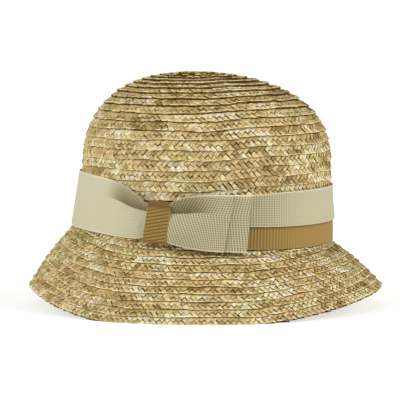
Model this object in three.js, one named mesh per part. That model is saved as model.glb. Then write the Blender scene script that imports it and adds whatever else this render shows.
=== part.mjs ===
// A straw cloche hat: one hollow body sewn from a spiral of plaited straw, with a two-tone
// grosgrain band, a wide ribbon sash round the front, and a flat bow with a knot.
// Millimetres, +Z up. The hat stands on its rim on the plane z = 0. The wearer's forehead faces
// -X, the bow sits on the -Y side, and azimuth 0 is the back of the hat, +X.
// Angles are in degrees, anticlockwise seen from above.

import * as THREE from "three";
import { mergeVertices } from "three/addons/utils/BufferGeometryUtils.js";

// Driving dimensions of the straw body

const crown = {
  top: 179.3,          // height of the crown's top above the table
  shoulder: 109.4,     // height where the dome meets the wall
  halfLength: 95.2,    // outer half length at the shoulder, front to back
  halfWidth: 86.5,     // outer half width at the shoulder
  fullness: 2.35,      // exponent of the dome's superellipse, 2 would be a plain ellipse
  wallOffset: 1.0,     // the crown's middle lies this far behind the brim's middle
  topLean: 9.3,        // how far the top leans forward
  wallFlare: 7.8,      // growth in length of the wall for every 50 mm down
};

const breakLine = {
  height: 56.4,        // mean height where the crown turns into the brim
  tilt: 5.9,           // lower at the back and higher at the front by this much
  sideDip: 3.0,        // lower at the two sides
  backDip: 1.9,        // the dip lies a little to the back
};

const brim = {
  halfLength: 134.9,
  halfWidth: 117.0,
  frontLift: 17.4,     // the rim's two ends stand clear of the table by this much
  backLift: 17.4,
  frontFlat: 0.48,     // the rim lies on the table between these two shares of its half length
  backFlat: 0.22,
  frontCurve: 1.85,    // exponents of the two lifts
  backCurve: 1.56,
  bell: 3.6,           // how far the brim bows out between the break and the rim
};

const plait = {
  pitch: 7.5,          // visible height of one row of plait on the crown
  firstRow: 5.3,       // distance from the top's centre to the first row's edge
  crownRows: 21,       // rows down to below the upper edge of the ribbon
  brimRows: 9,
  step: 0.9,           // each row's lower edge stands this proud of the row below
  lip: 0.25,           // half the height of that step
};

const strawWall = 2.5;
const segments = 48;
const meridianSteps = 400;

// Driving dimensions of the ribbons. Heights are measured up the wall from the break line, and
// stand-offs outwards from the straw's outer face.

const cloth = 1.0;
const gap = 0.3;
const stationStep = 7.5;

const caramelBand = { from: -84, to: 150, low: 0.6, high: 19.8 };
const sageBand = { from: -82, to: 148, low: 17.4, drapeLow: 20.3, drapeHigh: 24 };
const knot = { from: -115.3, to: -105.3, low: 1.0, high: 31.4, depth: 8.2, corner: 2.6 };

const toRadians = THREE.MathUtils.degToRad;

// The straw body's surface

// Length of the dome's mean meridian from the top, and the height reached there
const meridian = [];
const domeHeight = crown.top - crown.shoulder;
const meanRadius = (crown.halfLength + crown.halfWidth) / 2;
let walked = 0;
let lastSpot = new THREE.Vector2(0, crown.top);
for (let i = 0; i <= meridianSteps; i++) {
  const turn = (i / meridianSteps) * Math.PI / 2;
  const spot = new THREE.Vector2(
    meanRadius * Math.pow(Math.sin(turn), 2 / crown.fullness),
    crown.shoulder + domeHeight * Math.pow(Math.cos(turn), 2 / crown.fullness),
  );
  walked += spot.distanceTo(lastSpot);
  lastSpot = spot;
  meridian.push({ length: walked, height: spot.y });
}
const domeLength = walked;

function crownHeight(length) {
  if (length >= domeLength) {
    return crown.shoulder - (length - domeLength);
  }
  const after = meridian.findIndex((entry) => entry.length > length);
  const a = meridian[after - 1];
  const b = meridian[after];
  return THREE.MathUtils.mapLinear(length, a.length, b.length, a.height, b.height);
}

// Outer face of the crown at an azimuth and a height: a level, nearly round oval
function crownPoint(azimuth, height) {
  const turn = toRadians(azimuth);
  const rise = THREE.MathUtils.clamp((height - crown.shoulder) / domeHeight, 0, 1);
  const spread = Math.pow(1 - Math.pow(rise, crown.fullness), 1 / crown.fullness);
  const flare = crown.wallFlare * Math.max(0, crown.shoulder - height) / 100;
  const middle = crown.wallOffset - crown.topLean * Math.pow(rise, 4) - flare;
  return new THREE.Vector3(
    middle + (crown.halfLength * spread + flare) * Math.cos(turn),
    (crown.halfWidth * spread + 0.6 * flare) * Math.sin(turn),
    height,
  );
}

function breakHeight(azimuth) {
  const c = Math.cos(toRadians(azimuth));
  const side = 1 - c * c;
  return breakLine.height - breakLine.tilt * c - breakLine.sideDip * side
    - breakLine.backDip * c * side;
}

// Outer edge of the rim: flat on the table along both sides, lifted at front and back
function rimPoint(azimuth) {
  const turn = toRadians(azimuth);
  const c = Math.cos(turn);
  const front = Math.max(0, (-c - brim.frontFlat) / (1 - brim.frontFlat));
  const back = Math.max(0, (c - brim.backFlat) / (1 - brim.backFlat));
  return new THREE.Vector3(
    brim.halfLength * c,
    brim.halfWidth * Math.sin(turn),
    brim.frontLift * Math.pow(front, brim.frontCurve)
      + brim.backLift * Math.pow(back, brim.backCurve),
  );
}

// Outer face of the brim, share 0 at the break and 1 at the rim: a quadratic Bezier curve
function brimPoint(azimuth, share) {
  const start = crownPoint(azimuth, breakHeight(azimuth));
  const end = rimPoint(azimuth);
  const run = end.clone().sub(start);
  const reach = Math.hypot(run.x, run.y);
  const outward = new THREE.Vector3(-run.x * run.z / reach, -run.y * run.z / reach, reach);
  outward.normalize();
  const middle = start.clone().add(end).multiplyScalar(0.5).addScaledVector(outward, brim.bell);
  return start.multiplyScalar((1 - share) ** 2)
    .addScaledVector(middle, 2 * share * (1 - share))
    .addScaledVector(end, share ** 2);
}

// A point of the face moved outwards along its normal
function raised(face, azimuth, place, amount) {
  const small = 0.02;
  const along = face(azimuth + small, place).sub(face(azimuth - small, place));
  const down = face(azimuth, place + small).sub(face(azimuth, place - small));
  const normal = down.cross(along).normalize();
  return face(azimuth, place).addScaledVector(normal, amount);
}

const crownFace = (azimuth, length) => crownPoint(azimuth, crownHeight(length));
const lowestRow = plait.firstRow + plait.pitch * (plait.crownRows - 1);

// Rows of plait are stepped: the lower edge of each lies over the row below it
function strawOutside(azimuth) {
  const points = [new THREE.Vector3(crown.wallOffset - crown.topLean, 0, crown.top)];
  for (let row = 0; row < plait.crownRows; row++) {
    const edge = plait.firstRow + row * plait.pitch;
    points.push(raised(crownFace, azimuth, edge - plait.lip, 0));
    points.push(raised(crownFace, azimuth, edge + plait.lip, -plait.step));
  }
  const lowest = crownHeight(lowestRow);
  for (const share of [0.35, 1]) {
    const height = THREE.MathUtils.lerp(lowest, breakHeight(azimuth), share);
    points.push(crownPoint(azimuth, height));
  }
  const lipShare = 0.04;
  for (let row = 1; row < plait.brimRows; row++) {
    const edge = row / plait.brimRows;
    points.push(raised(brimPoint, azimuth, edge - lipShare / 2, 0));
    points.push(raised(brimPoint, azimuth, edge + lipShare / 2, -plait.step));
  }
  points.push(rimPoint(azimuth));
  return points;
}

function strawInside(azimuth) {
  const points = [new THREE.Vector3(crown.wallOffset - crown.topLean, 0, crown.top - strawWall)];
  const domeRings = 9;
  for (let ring = 1; ring <= domeRings; ring++) {
    points.push(raised(crownFace, azimuth, domeLength * ring / domeRings, -strawWall));
  }
  const turnHeight = breakHeight(azimuth);
  const wallFoot = domeLength + crown.shoulder - turnHeight - 2 * strawWall;
  points.push(raised(crownFace, azimuth, wallFoot, -strawWall));
  for (const share of [0.08, 0.4, 0.7]) {
    points.push(raised(brimPoint, azimuth, share, -strawWall));
  }
  // The rim is cut level, so its underside lies flat on the table
  const rim = rimPoint(azimuth);
  const inner = raised(brimPoint, azimuth, 1, -strawWall);
  const shift = new THREE.Vector2(inner.x - rim.x, inner.y - rim.y);
  const stretch = (strawWall / shift.length()) ** 2;
  points.push(new THREE.Vector3(rim.x + shift.x * stretch, rim.y + shift.y * stretch, rim.z));
  return points;
}

// Solids

// Signed volume of the solid whose faces are these triples of corners
function enclosed(faces) {
  let sum = 0;
  for (const [a, b, c] of faces) {
    sum += a.dot(b.clone().cross(c)) / 6;
  }
  return sum;
}

// A wall lofted through sections. Each section is a front rail and a back rail of points, and the
// solid is closed along both long edges. A loop joins its last section to its first, and an open
// wall is closed by two end faces, which need rails of equal length.
function wall(sections, isLoop) {
  const faces = [];
  const addQuad = (a, b, c, d) => {
    for (const face of [[a, b, c], [a, c, d]]) {
      const [p, q, r] = face;
      const isFlat = p.distanceTo(q) < 1e-6 || q.distanceTo(r) < 1e-6 || r.distanceTo(p) < 1e-6;
      if (!isFlat) {
        faces.push(face);
      }
    }
  };
  const outline = ({ front, back }) => [...front, ...[...back].reverse()];
  const outlines = sections.map(outline);
  const spans = isLoop ? outlines.length : outlines.length - 1;
  for (let i = 0; i < spans; i++) {
    const here = outlines[i];
    const next = outlines[(i + 1) % outlines.length];
    for (let j = 0; j < here.length; j++) {
      const k = (j + 1) % here.length;
      addQuad(here[j], here[k], next[k], next[j]);
    }
  }
  if (!isLoop) {
    const first = sections[0];
    const last = sections[sections.length - 1];
    for (let j = 0; j + 1 < first.front.length; j++) {
      addQuad(first.front[j], first.back[j], first.back[j + 1], first.front[j + 1]);
      addQuad(last.front[j], last.front[j + 1], last.back[j + 1], last.back[j]);
    }
  }
  const isInsideOut = enclosed(faces) < 0;
  const corners = faces.flatMap(([a, b, c]) => (isInsideOut ? [a, c, b] : [a, b, c]));
  const geometry = mergeVertices(new THREE.BufferGeometry().setFromPoints(corners), 1e-5);
  geometry.computeVertexNormals();
  return geometry;
}

function named(name, geometry, colour, roughness) {
  const material = new THREE.MeshStandardMaterial({
    color: colour,
    roughness,
    metalness: 0,
    flatShading: true,
  });
  const mesh = new THREE.Mesh(geometry, material);
  mesh.name = name;
  return mesh;
}

function strawBody() {
  const sections = [];
  for (let i = 0; i < segments; i++) {
    const azimuth = i * 360 / segments;
    sections.push({ front: strawOutside(azimuth), back: strawInside(azimuth) });
  }
  return wall(sections, true);
}

// Ribbons

// A point beside the crown's wall: so high above the break line, so far off the straw
function besideWall(azimuth, height, standOff) {
  const turn = toRadians(azimuth);
  const outward = new THREE.Vector3(
    Math.cos(turn) / crown.halfLength,
    Math.sin(turn) / crown.halfWidth,
    0,
  ).normalize();
  return crownPoint(azimuth, breakHeight(azimuth) + height).addScaledVector(outward, standOff);
}

// Azimuths from one end of a ribbon to the other, in equal steps of about stationStep or less
function stations(from, to, step = stationStep) {
  const count = Math.ceil(Math.abs(to - from) / step);
  return Array.from({ length: count + 1 }, (_, i) => from + (to - from) * i / count);
}

function caramelBandSolid() {
  const { from, to, low, high } = caramelBand;
  return wall(stations(from, to).map((azimuth) => ({
    front: [low, high].map((height) => besideWall(azimuth, height, gap + cloth)),
    back: [low, high].map((height) => besideWall(azimuth, height, gap)),
  })), false);
}

// The sage band's upper edge, which runs a little lower towards the bow and the sash
const sageTopRows = [
  // azimuth, height
  [-84, 40.2],
  [-70, 40.7],
  [-52, 42.8],
  [-38, 43.3],
  [80, 43.3],
  [150, 42.0],
];

// The sage band's lower edge is sewn over the caramel band, so it drapes outwards over it
function sageBandSolid() {
  const { from, to, low, drapeLow, drapeHigh } = sageBand;
  const onStraw = gap;
  const onCaramel = gap + cloth + gap;
  return wall(stations(from, to).map((azimuth) => {
    const [, high] = blend(sageTopRows, azimuth);
    return {
      front: [
        besideWall(azimuth, low, onCaramel + cloth),
        besideWall(azimuth, drapeLow, onCaramel + cloth),
        besideWall(azimuth, drapeHigh, onStraw + cloth),
        besideWall(azimuth, high, onStraw + cloth),
      ],
      back: [
        besideWall(azimuth, low, onCaramel),
        besideWall(azimuth, drapeLow, onCaramel),
        besideWall(azimuth, drapeHigh - cloth, onStraw),
        besideWall(azimuth, high, onStraw),
      ],
    };
  }), false);
}

// A ribbon given by rows of a table. Each row is one place along it: azimuth, the heights of its
// lower edge, crease and upper edge, and the stand-offs of its inner face at the lower edge, at the
// belly between that edge and the crease, at the crease and at the upper edge. The face stands off
// outwards, so the cloth's thickness lies outside those values.
function ribbonSection([azimuth, low, crease, high, offLow, offBelly, offCrease, offHigh]) {
  const belly = (low + crease) / 2;
  const brow = (crease + high) / 2;
  const offBrow = (offCrease + offHigh) / 2;
  const rail = (outward) => [
    besideWall(azimuth, low, offLow + outward),
    besideWall(azimuth, belly, offBelly + outward),
    besideWall(azimuth, crease, offCrease + outward),
    besideWall(azimuth, brow, offBrow + outward),
    besideWall(azimuth, high, offHigh + outward),
  ];
  return { front: rail(cloth), back: rail(0) };
}

function blend(rows, azimuth) {
  const isBetween = (a, b) => (azimuth - a) * (azimuth - b) <= 0;
  const at = rows.findIndex((row, i) => i > 0 && isBetween(rows[i - 1][0], row[0]));
  const before = rows[at - 1];
  const after = rows[at];
  const share = (azimuth - before[0]) / (after[0] - before[0]);
  return before.map((value, column) => THREE.MathUtils.lerp(value, after[column], share));
}

// The wide sash leaves the knot, runs round the front, and its end lies over the bands' ends
const over = 2 * (cloth + gap) + gap;
const sashRows = [
  // azimuth, low, crease, high, offLow, offBelly, offCrease, offHigh
  [-111.0, 3.4, 23.0, 28.8, 2.2, 2.6, 2.0, 2.4],
  [-115.6, 3.2, 23.0, 29.2, 2.4, 3.0, 1.8, 2.8],
  [-117.0, 2.2, 23.0, 32.0, 2.6, 3.6, 1.4, 3.6],
  [-119.5, 1.6, 23.4, 34.4, 2.4, 3.8, 1.1, 4.0],
  [-123.0, 1.4, 24.0, 36.9, 1.6, 3.2, 0.9, 3.6],
  [-130.0, 1.2, 27.0, 40.5, 0.8, 1.6, 0.6, 1.6],
  [-138.0, 1.2, 28.7, 41.9, gap, 0.5, gap, 0.5],
  [-146.0, 1.2, 28.7, 42.4, gap, gap, gap, gap],
  [-202.0, 1.2, 28.7, 42.4, gap, gap, gap, gap],
  [-208.5, 1.2, 28.7, 42.4, over, over, over, over],
  [-225.0, 1.2, 28.7, 42.4, over, over, over, over],
];

function sashSolid() {
  const spots = sashRows.slice(1).flatMap((row, i) => stations(sashRows[i][0], row[0]).slice(1));
  const sections = [sashRows[0][0], ...spots].map((azimuth) => (
    ribbonSection(blend(sashRows, azimuth))
  ));
  return wall(sections, false);
}

// A bow loop is one ribbon folded back on itself: a front leaf, a round fold and a back leaf
function loopSolid(frontRows, foldDepth) {
  const backRows = frontRows.map((row) => {
    const standOff = Math.min(...row.slice(4)) - cloth - gap;
    return [...row.slice(0, 4), standOff, standOff, standOff, standOff];
  });
  const front = frontRows.map(ribbonSection);
  const back = backRows.map(ribbonSection);
  const [azimuth, low, crease, high, standOff] = backRows[backRows.length - 1];
  const heights = [low, (low + crease) / 2, crease, (crease + high) / 2, high];
  const outerRadius = cloth + gap / 2;
  const middle = standOff + outerRadius;
  const fold = [30, 90, 150].map((degrees) => {
    const turn = toRadians(degrees);
    const rail = (radius) => heights.map((height) => besideWall(
      azimuth + Math.sin(turn) * foldDepth * radius / outerRadius,
      height,
      middle + Math.cos(turn) * radius,
    ));
    return { front: rail(outerRadius), back: rail(outerRadius - cloth) };
  });
  const flipped = back.map((section) => ({ front: section.back, back: section.front }));
  return wall([...front, ...fold, ...flipped.reverse()], false);
}

const upperLoopRows = [
  // azimuth, low, crease, high, offLow, offBelly, offCrease, offHigh
  [-109.8, 3.4, 23.6, 28.6, 5.9, 5.9, 5.9, 5.9],
  [-105.0, 3.2, 23.6, 29.0, 5.9, 5.9, 5.9, 5.9],
  [-103.8, 2.2, 23.6, 32.4, 6.2, 6.6, 5.9, 6.8],
  [-101.0, 1.3, 23.6, 35.0, 6.5, 7.4, 5.9, 7.8],
  [-97.0, 0.0, 24.0, 37.3, 6.5, 7.6, 6.0, 7.8],
  [-91.0, -1.0, 25.8, 39.0, 6.5, 7.4, 6.3, 7.2],
  [-85.0, -1.4, 26.5, 40.0, 6.8, 7.2, 6.8, 6.9],
  [-79.2, -1.5, 26.5, 40.4, 6.8, 6.8, 6.8, 6.8],
];

const underLoopRows = [
  // azimuth, low, crease, high, offLow, offBelly, offCrease, offHigh
  [-109.8, 3.6, 23.6, 28.4, 3.2, 3.2, 3.2, 3.2],
  [-105.0, 3.4, 23.6, 28.8, 3.2, 3.2, 3.2, 3.2],
  [-97.0, 0.6, 24.0, 36.2, 3.2, 3.2, 3.2, 3.2],
  [-88.0, -0.8, 26.0, 39.2, 3.6, 3.6, 3.6, 3.6],
  [-84.0, -1.2, 26.5, 40.0, 4.2, 4.2, 4.2, 4.2],
  [-77.0, -1.5, 26.5, 40.4, 4.2, 4.2, 4.2, 4.2],
  [-70.8, -1.6, 26.5, 40.5, 4.2, 4.2, 4.2, 4.2],
];

// The knot is a strip of caramel ribbon wound round the gathered sash: a flat ring stood on edge
function knotSolid() {
  const { from, to, low, high, depth, corner } = knot;
  const corners = [
    // stand-off, height and start angle of each rounded corner's centre
    [depth - corner, high - corner, 0],
    [gap + corner, high - corner, 90],
    [gap + corner, low + corner, 180],
    [depth - corner, low + corner, 270],
  ];
  const arcSteps = 4;
  const sections = corners.flatMap(([standOff, height, start]) => (
    Array.from({ length: arcSteps + 1 }, (_, i) => {
      const turn = toRadians(start + 90 * i / arcSteps);
      const rail = (radius) => stations(from, to, 5).map((azimuth) => besideWall(
        azimuth,
        height + radius * Math.sin(turn),
        standOff + radius * Math.cos(turn),
      ));
      return { front: rail(corner), back: rail(corner - cloth) };
    })
  ));
  return wall(sections, true);
}

const straw = 0xcdb98a;
const sage = 0xc9c7ad;
const caramel = 0xa98a4f;

const hat = new THREE.Group();
hat.add(named("straw_body", strawBody(), straw, 0.75));
hat.add(named("caramel_band", caramelBandSolid(), caramel, 0.8));
hat.add(named("sage_band", sageBandSolid(), sage, 0.8));
hat.add(named("sage_sash", sashSolid(), sage, 0.8));
hat.add(named("bow_loop_under", loopSolid(underLoopRows, 0.6), sage, 0.8));
hat.add(named("bow_loop_upper", loopSolid(upperLoopRows, 0.8), sage, 0.8));
hat.add(named("bow_knot", knotSolid(), caramel, 0.8));

export default hat;
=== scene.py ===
# %% [markdown]
# A straw cloche hat, built as a lesson in cells.
# The hat is a spiral of plaited wheat straw sewn into a bell-shaped body, with a two-tone grosgrain
# band, a wide sash and a flat bow at the side. The solid model of the hat comes first. It fixes
# every size, and each piece made here is fitted round it.

# %% Load the solid model
import math
from types import SimpleNamespace
import bpy
import numpy as np
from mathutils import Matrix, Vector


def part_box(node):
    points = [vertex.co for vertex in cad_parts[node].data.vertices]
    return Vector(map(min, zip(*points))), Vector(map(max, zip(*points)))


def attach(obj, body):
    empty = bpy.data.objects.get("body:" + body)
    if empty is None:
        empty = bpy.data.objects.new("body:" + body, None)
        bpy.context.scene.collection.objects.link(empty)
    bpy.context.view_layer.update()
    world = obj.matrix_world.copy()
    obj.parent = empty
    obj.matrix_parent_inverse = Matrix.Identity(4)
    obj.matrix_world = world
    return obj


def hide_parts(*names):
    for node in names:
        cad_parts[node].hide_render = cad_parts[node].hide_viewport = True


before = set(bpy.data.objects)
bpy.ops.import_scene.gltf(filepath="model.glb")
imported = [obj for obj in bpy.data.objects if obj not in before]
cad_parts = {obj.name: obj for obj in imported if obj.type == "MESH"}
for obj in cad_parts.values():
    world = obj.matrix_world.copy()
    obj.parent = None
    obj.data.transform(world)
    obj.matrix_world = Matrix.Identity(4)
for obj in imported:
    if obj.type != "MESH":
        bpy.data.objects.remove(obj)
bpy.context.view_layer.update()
METRES = 0.001    # shapes are worked out in millimetres and turned to metres when a mesh is made
rng = np.random.default_rng(11)

# %% [markdown]
# The straw's shape is one smooth surface that every plait row follows: a dome whose upright section
# is a superellipse, a wall that widens a little downwards, a slanting line where the wall turns into
# the brim, and a brim that bows out to a rim which lifts at the front and back.
# A surface could be sculpted, but a few formulas keep it exact and easy to change.

# %% The crown's surface
low_corner, high_corner = (np.array(c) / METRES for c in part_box("straw_body"))
crown = SimpleNamespace(top=high_corner[2], shoulder=109.4, half_length=95.2, half_width=86.5,
                        fullness=2.35, wall_offset=1.0, top_lean=9.3, wall_flare=7.8)
dome_height = crown.top - crown.shoulder


def unit(vectors):
    """Each vector divided by its own length."""
    return vectors / np.linalg.norm(vectors, axis=-1, keepdims=True)


def crown_point(azimuth, height):
    """A level oval at each height: half length times cos, half width times sin. Above the shoulder
    the oval shrinks as a superellipse, below it the oval grows, and its middle leans forward."""
    turn = np.radians(azimuth)
    rise = np.clip((height - crown.shoulder) / dome_height, 0, 1)
    spread = (1 - rise ** crown.fullness) ** (1 / crown.fullness)
    flare = crown.wall_flare * np.maximum(0, crown.shoulder - height) / 100
    middle = crown.wall_offset - crown.top_lean * rise ** 4 - flare
    x = middle + (crown.half_length * spread + flare) * np.cos(turn)
    y = (crown.half_width * spread + 0.6 * flare) * np.sin(turn)
    return np.stack(np.broadcast_arrays(x, y, height), -1).astype(float)


quarter = np.linspace(0, math.pi / 2, 401)
mean_radius = (crown.half_length + crown.half_width) / 2
meridian_radius = mean_radius * np.sin(quarter) ** (2 / crown.fullness)
meridian_height = crown.shoulder + dome_height * np.cos(quarter) ** (2 / crown.fullness)
meridian_steps = np.hypot(np.diff(meridian_radius), np.diff(meridian_height))
meridian_length = np.concatenate([[0], np.cumsum(meridian_steps)])
dome_length = meridian_length[-1]


def crown_face(azimuth, length):
    """The crown's outer face, by azimuth and by distance down the dome from its top."""
    on_dome = np.interp(length, meridian_length, meridian_height)
    height = np.where(length < dome_length, on_dome, crown.shoulder - (length - dome_length))
    return crown_point(azimuth, height)


print("dome, from top to shoulder along its face:", round(dome_length, 1), "mm")

# %% The brim's surface
break_line = SimpleNamespace(height=56.4, tilt=5.9, side_dip=3.0, back_dip=1.9)
brim = SimpleNamespace(half_length=high_corner[0], half_width=high_corner[1],
                       front_lift=17.4, back_lift=17.4, front_flat=0.48, back_flat=0.22,
                       front_curve=1.85, back_curve=1.56, bell=3.6)


def break_height(azimuth):
    """Height of the line where wall turns into brim: lower at the back and at the two sides."""
    c = np.cos(np.radians(azimuth))
    side = 1 - c * c
    return (break_line.height - break_line.tilt * c - break_line.side_dip * side
            - break_line.back_dip * c * side)


def rim_point(azimuth):
    """An ellipse that lies on the table along both sides and lifts towards front and back."""
    turn = np.radians(azimuth)
    c = np.cos(turn)
    front = np.clip((-c - brim.front_flat) / (1 - brim.front_flat), 0, 1)
    back = np.clip((c - brim.back_flat) / (1 - brim.back_flat), 0, 1)
    lift = brim.front_lift * front ** brim.front_curve + brim.back_lift * back ** brim.back_curve
    return np.stack([brim.half_length * c, brim.half_width * np.sin(turn), lift], -1)


def brim_reach(azimuth):
    """Straight distance from the break to the rim."""
    start = crown_point(azimuth, break_height(azimuth))
    return np.linalg.norm(rim_point(azimuth) - start, axis=-1)


def brim_face(azimuth, length):
    """A quadratic curve from break to rim that bows out by the bell, by distance down from the
    break. A distance below zero is on the crown's wall, above the break."""
    azimuth, length = np.broadcast_arrays(np.asarray(azimuth, float), np.asarray(length, float))
    start = crown_point(azimuth, break_height(azimuth))
    end = rim_point(azimuth)
    run = end - start
    reach = np.hypot(run[..., 0], run[..., 1])
    outward = unit(np.stack([-run[..., 0] * run[..., 2] / reach,
                             -run[..., 1] * run[..., 2] / reach, reach], -1))
    middle = (start + end) / 2 + brim.bell * outward
    share = (length / np.linalg.norm(run, axis=-1))[..., None]
    on_brim = (1 - share) ** 2 * start + 2 * share * (1 - share) * middle + share ** 2 * end
    on_wall = crown_point(azimuth, break_height(azimuth) - length)
    return np.where(length[..., None] < 0, on_wall, on_brim)


def axes_at(face, azimuth, place):
    """The point of a face, and its three axes: along the row, down the face, and outwards."""
    small = 0.05
    along = unit(face(azimuth + small, place) - face(azimuth - small, place))
    down = unit(face(azimuth, place + small) - face(azimuth, place - small))
    outward = unit(np.cross(down, along))
    return face(azimuth, place), along, unit(np.cross(along, outward)), outward


print("brim, from break to rim:", np.round(brim_reach(np.array([180, -90, 0])), 1), "mm")

# %% [markdown]
# Every mesh here is made the same way: an array of points, arrays of faces, and a value for each
# point where a material needs one. Blender takes whole arrays with foreach_set, which is far faster
# than adding one vertex at a time.

# %% Make a mesh from arrays
def new_piece(name, points, faces, material, node, uv=None, tint=None):
    """One object from points in millimetres and a list of face arrays, one array for each number
    of corners. uv and tint have a row for each point."""
    corners = np.concatenate([f.ravel() for f in faces])
    sizes = np.concatenate([np.full(len(f), f.shape[1]) for f in faces])
    mesh = bpy.data.meshes.new(name)
    mesh.vertices.add(len(points))
    mesh.vertices.foreach_set("co", (points * METRES).astype(np.float32).ravel())
    mesh.loops.add(len(corners))
    mesh.loops.foreach_set("vertex_index", corners.astype(np.int32))
    mesh.polygons.add(len(sizes))
    mesh.polygons.foreach_set("loop_start", (np.cumsum(sizes) - sizes).astype(np.int32))
    mesh.update(calc_edges=True)
    if uv is not None:
        layer = mesh.uv_layers.new(name="thread")
        layer.uv.foreach_set("vector", uv[corners].astype(np.float32).ravel())
    if tint is not None:
        colours = mesh.attributes.new("tint", "FLOAT_COLOR", "POINT")
        whole = tint if tint.shape[1] == 4 else np.pad(tint, ((0, 0), (0, 1)), constant_values=1)
        colours.data.foreach_set("color", whole.astype(np.float32).ravel())
    mesh.shade_smooth()
    mesh.materials.append(material)
    piece = bpy.data.objects.new(name, mesh)
    bpy.context.scene.collection.objects.link(piece)
    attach(piece, "root")
    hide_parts(node)
    print(f"{name}: {len(points)} points, {int((sizes - 2).sum())} triangles")
    return piece


def grid_faces(rows, columns, wrap_rows=False, wrap_columns=False):
    """The four-cornered faces of a grid of points, numbered row by row."""
    r = np.arange(rows if wrap_rows else rows - 1)[:, None]
    c = np.arange(columns if wrap_columns else columns - 1)[None, :]
    r2, c2 = (r + 1) % rows, (c + 1) % columns
    return np.stack([r * columns + c, r * columns + c2, r2 * columns + c2, r2 * columns + c],
                    -1).reshape(-1, 4)


# %% Add a node, and turn a colour to linear light
def add_node(material, kind, inputs=(), **settings):
    """A node with its settings. inputs pairs each socket with a value or another node's output."""
    node = material.node_tree.nodes.new(kind)
    for name, value in settings.items():
        setattr(node, name, value)
    for socket, value in dict(inputs).items():
        if isinstance(value, bpy.types.NodeSocket):
            material.node_tree.links.new(value, node.inputs[socket])
        else:
            node.inputs[socket].default_value = value
    return node


def linear(hex_colour):
    """An sRGB colour such as c4ab72 as linear light: v / 12.92 if dark, else ((v + .055) / 1.055)
    to the power 2.4."""
    v = np.array([int(hex_colour[i:i + 2], 16) for i in (0, 2, 4)]) / 255
    return np.where(v <= 0.04045, v / 12.92, ((v + 0.055) / 1.055) ** 2.4)


def new_material(name):
    """An empty node material with its output and a Principled shader."""
    material = bpy.data.materials.new(name)
    material.use_nodes = True
    material.node_tree.nodes.clear()
    shader = add_node(material, "ShaderNodeBsdfPrincipled")
    output = add_node(material, "ShaderNodeOutputMaterial")
    material.node_tree.links.new(shader.outputs[0], output.inputs[0])
    return material, shader


# %% [markdown]
# Wheat straw is a split and flattened stem. Its skin is waxy, so it has a soft shine, and fine
# fibres run along it. Each leaf of the plait has a colour of its own, kept on its points with
# painted shade on its rim, and the nodes add the fibres along the leaf from the piece's own UV
# map, which is in millimetres.

# %% Plaited wheat straw
def straw_material(name, streak_depth, roughness, gloss):
    """Leaf colour from the points, times a noise stretched along the fibres."""
    material, shader = new_material(name)
    tint = add_node(material, "ShaderNodeAttribute", attribute_name="tint")
    place = add_node(material, "ShaderNodeUVMap", uv_map="thread")
    stretch = add_node(material, "ShaderNodeMapping", {"Vector": place.outputs[0],
                                                       "Scale": (0.5, 0.9, 1.0)})
    fibres = add_node(material, "ShaderNodeTexNoise", {"Vector": stretch.outputs[0],
                                                       "Scale": 1.0, "Detail": 5.0,
                                                       "Roughness": 0.65})
    shade = add_node(material, "ShaderNodeMapRange", {"Value": fibres.outputs[0],
                                                      "From Min": 0.38, "From Max": 0.62,
                                                      "To Min": 1 - streak_depth, "To Max": 1.18})
    specks = add_node(material, "ShaderNodeTexNoise", {"Vector": place.outputs[0], "Scale": 0.75,
                                                       "Detail": 2.0})
    fleck = add_node(material, "ShaderNodeMapRange", {"Value": specks.outputs[0],
                                                      "From Min": 0.54, "From Max": 0.68,
                                                      "To Min": 1.0, "To Max": 1 - streak_depth})
    mottle = add_node(material, "ShaderNodeMath", {0: shade.outputs[0], 1: fleck.outputs[0]},
                      operation="MULTIPLY")
    colour = add_node(material, "ShaderNodeVectorMath", {0: tint.outputs["Color"],
                                                         1: mottle.outputs[0]},
                      operation="MULTIPLY")
    bump = add_node(material, "ShaderNodeBump", {"Height": fibres.outputs[0], "Strength": 0.35,
                                                 "Distance": 0.0002})
    links = material.node_tree.links
    links.new(colour.outputs[0], shader.inputs["Base Color"])
    links.new(bump.outputs[0], shader.inputs["Normal"])
    shader.inputs["Roughness"].default_value = roughness
    shader.inputs["IOR"].default_value = 1.5
    shader.inputs["Specular IOR Level"].default_value = gloss
    return material


wheat_straw = straw_material("wheat_straw_plait", 0.42, 0.55, 0.14)
shaded_straw = straw_material("shaded_straw_under_plait", 0.30, 1.0, 0.0)
cotton_thread = straw_material("cotton_sewing_thread", 0.12, 0.8, 0.1)

# %% [markdown]
# In the plait each straw runs slanting down to the row's lower edge, folds, and runs slanting up
# again, over some straws and under others. So a row shows two courses of leaves: the upper ones
# lean to the right, the lower ones to the left, and they meet in the middle in a zigzag where each
# slips under the other course. Every leaf is a four-cornered patch with these slanting sides.
# It is a flat-topped tile with a narrow rim that drops away. Its end in the middle of the row is
# tucked in, and a lower leaf's foot drops off square, which makes the row's step.

# %% The patch that every leaf is made from
def leaf_patch(along, across):
    """Places on a leaf: u from -1 at its upper end to 1 at its foot, w from -1 at its left side to 1
    at its right. top holds its faces, and ring the points round its rim."""
    u, w = (grid.ravel() for grid in np.meshgrid(along, across, indexing="ij"))
    numbers = np.arange(len(u)).reshape(len(along), len(across))
    ring = np.concatenate([numbers[:-1, 0], numbers[-1, :-1], numbers[:0:-1, -1],
                           numbers[0, :0:-1]])
    return SimpleNamespace(u=u, w=w, head=u == -1, foot=u == 1, side=np.abs(w) == 1,
                           top=grid_faces(len(along), len(across)), ring=ring)


fine_leaf = leaf_patch([-1.0, -0.80, 0.84, 0.90, 1.0], [-1.0, -0.84, 0.0, 0.84, 1.0])
plain_leaf = leaf_patch([-1.0, -0.80, 0.84, 1.0], [-1.0, -0.84, 0.84, 1.0])


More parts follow.
